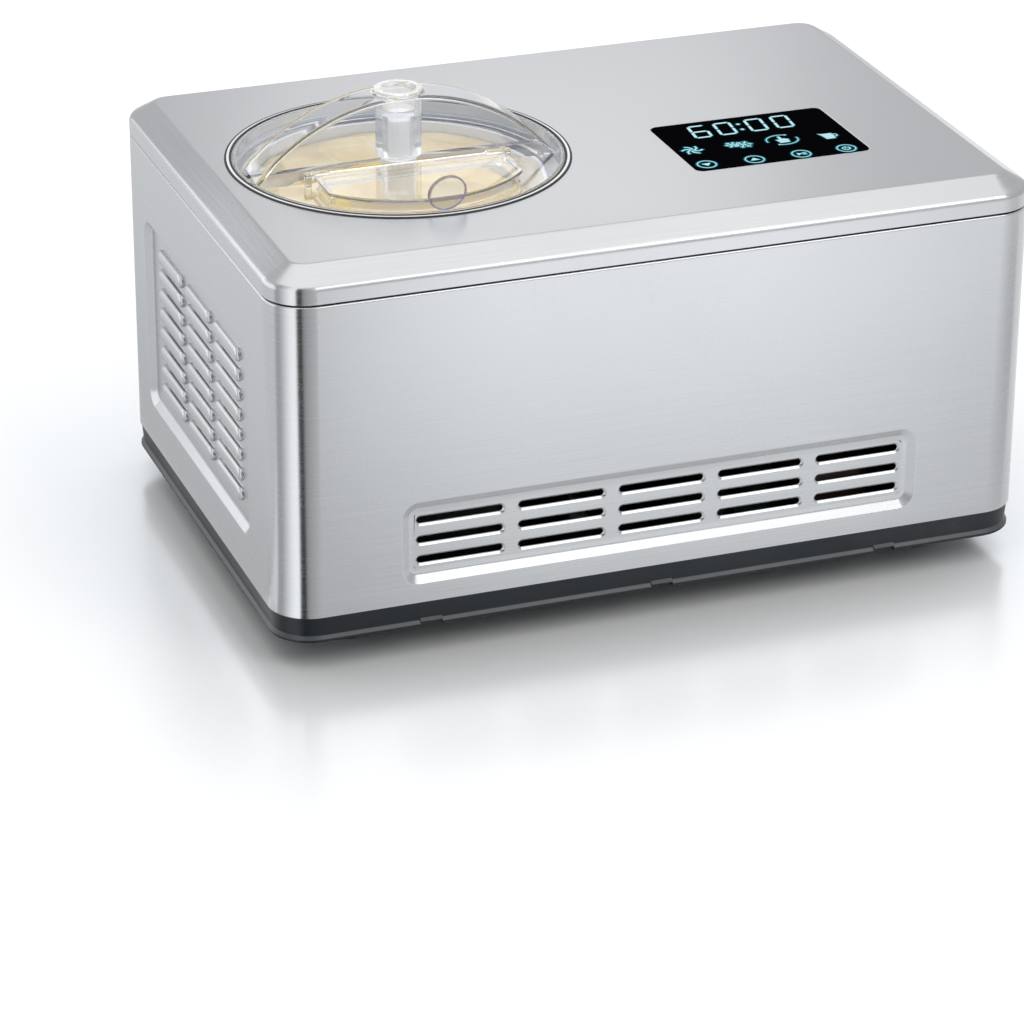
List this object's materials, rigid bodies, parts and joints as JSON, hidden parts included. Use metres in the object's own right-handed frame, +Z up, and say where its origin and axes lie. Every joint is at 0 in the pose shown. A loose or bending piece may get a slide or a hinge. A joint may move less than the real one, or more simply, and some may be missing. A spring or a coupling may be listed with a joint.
{
  "type": "ice cream maker",
  "caption": "Box-shaped compressor ice cream maker with a round clear lid, lift-out bowl with bail, driven dasher and cooling circuit.",
  "frame": {"origin": "on the surface the feet stand on, at the centre of the footprint", "axes": "+X to the right along the front, +Y to the back, +Z up"},
  "size_m": [0.425, 0.29, 0.2605],
  "materials": {
    "brushed_steel": "brushed, grain along the front",
    "base_plastic": "satin moulded, dark blue grey",
    "ring_plastic": "satin grey",
    "rubber": "matt",
    "clear_plastic": "clear polished",
    "display_glass": "black glass with lit symbols",
    "bowl_aluminium": "satin",
    "well_aluminium": "drawn, satin",
    "bright_steel": "polished wire and pins",
    "zinc": "zinc plated",
    "white_plastic": "satin moulded",
    "foam": "beaded foam",
    "copper": "drawn copper",
    "black_paint": "semi-gloss black",
    "black_plastic": "moulded",
    "brass": "turned",
    "circuit_board": "solder mask green",
    "winding": "enamelled wire and laminations"
  },
  "bodies": {
    "housing": {"base_tray": "base_plastic", "feet": "rubber", "foot_screws": "zinc", "housing_wrap": "brushed_steel", "rear_panel": "brushed_steel", "rear_screws": "zinc", "cord_gland": "rubber", "top_cover": "brushed_steel", "opening_ring": "ring_plastic", "ring_gasket": "rubber", "display_glass": "display_glass", "display_carrier": "black_plastic", "display_board": "circuit_board", "display_screws": "zinc", "cooling_well": "well_aluminium", "evaporator_coil": "copper", "foam_jacket": "foam", "bowl_sensor": "zinc", "drive_bracket": "zinc", "gearbox_case": "white_plastic", "gearbox_cover": "white_plastic", "gearbox_screws": "zinc", "shaft_bush": "brass", "shaft_seal": "rubber", "idler_pin": "bright_steel", "motor_can": "zinc", "motor_cap": "zinc", "motor_stator": "winding", "compressor_shell": "black_paint", "compressor_plate": "black_paint", "compressor_grommets": "rubber", "compressor_bolts": "zinc", "terminal_cover": "black_plastic", "discharge_tube": "copper", "suction_tube": "copper", "liquid_tube": "copper", "filter_drier": "copper", "drier_clip": "zinc", "capillary_tube": "copper", "condenser_fins": "well_aluminium", "condenser_tube": "copper", "fan_shroud": "black_plastic", "fan_motor": "black_paint", "power_board": "circuit_board", "transformer": "winding"},
    "bowl": {"bowl": "bowl_aluminium", "bowl_lugs": "bright_steel", "bowl_pins": "bright_steel"},
    "bail": {"bail": "bright_steel"},
    "lid": {"lid": "clear_plastic", "lid_tube": "clear_plastic", "flap_pins": "clear_plastic"},
    "flap": {"refill_flap": "clear_plastic"},
    "dasher": {"dasher_hub": "white_plastic", "dasher_blades": "white_plastic"},
    "drive": {"drive_shaft": "bright_steel", "output_gear": "white_plastic"},
    "idler": {"idler_gear": "white_plastic"},
    "rotor": {"motor_rotor": "bright_steel"},
    "fan": {"fan_blades": "black_plastic"}
  },
  "joints": [
    {"name": "bowl_lift", "type": "slide", "parent": "housing", "child": "bowl", "axis": [0, 0, 1], "range_m": [0, 0.16]},
    {"name": "lid_lift", "type": "slide", "parent": "bowl", "child": "lid", "axis": [0, 0, 1], "range_m": [0, 0.25]},
    {"name": "flap_hinge", "type": "hinge", "parent": "lid", "child": "flap", "pos_m": [-0.098, -0.0162, 0.2233], "axis": [-1, 0, 0], "range_deg": [0, 90]},
    {"name": "bail_swing", "type": "hinge", "parent": "bowl", "child": "bail", "pos_m": [-0.098, 0, 0.21], "axis": [1, 0, 0], "range_deg": [0, 90]},
    {"name": "drive_spin", "type": "hinge", "parent": "housing", "child": "drive", "pos_m": [-0.098, 0, 0.065], "axis": [0, 0, 1], "continuous": true},
    {"name": "dasher_spin", "type": "hinge", "parent": "bowl", "child": "dasher", "pos_m": [-0.098, 0, 0.12], "axis": [0, 0, 1], "continuous": true},
    {"name": "idler_spin", "type": "hinge", "parent": "housing", "child": "idler", "pos_m": [-0.137, 0, 0.06], "axis": [0, 0, 1], "continuous": true},
    {"name": "rotor_spin", "type": "hinge", "parent": "housing", "child": "rotor", "pos_m": [-0.137, -0.0288, 0.045], "axis": [0, 0, 1], "continuous": true},
    {"name": "fan_spin", "type": "hinge", "parent": "housing", "child": "fan", "pos_m": [0.176, 0.004, 0.11], "axis": [1, 0, 0], "continuous": true}
  ],
  "couplings": [
    {"joint": "bail_swing", "follows": "lid_lift", "rad_per_m": 6.28},
    {"joint": "dasher_spin", "follows": "drive_spin", "ratio": 1},
    {"joint": "idler_spin", "follows": "drive_spin", "ratio": -4.5714},
    {"joint": "rotor_spin", "follows": "drive_spin", "ratio": 22.857}
  ]
}
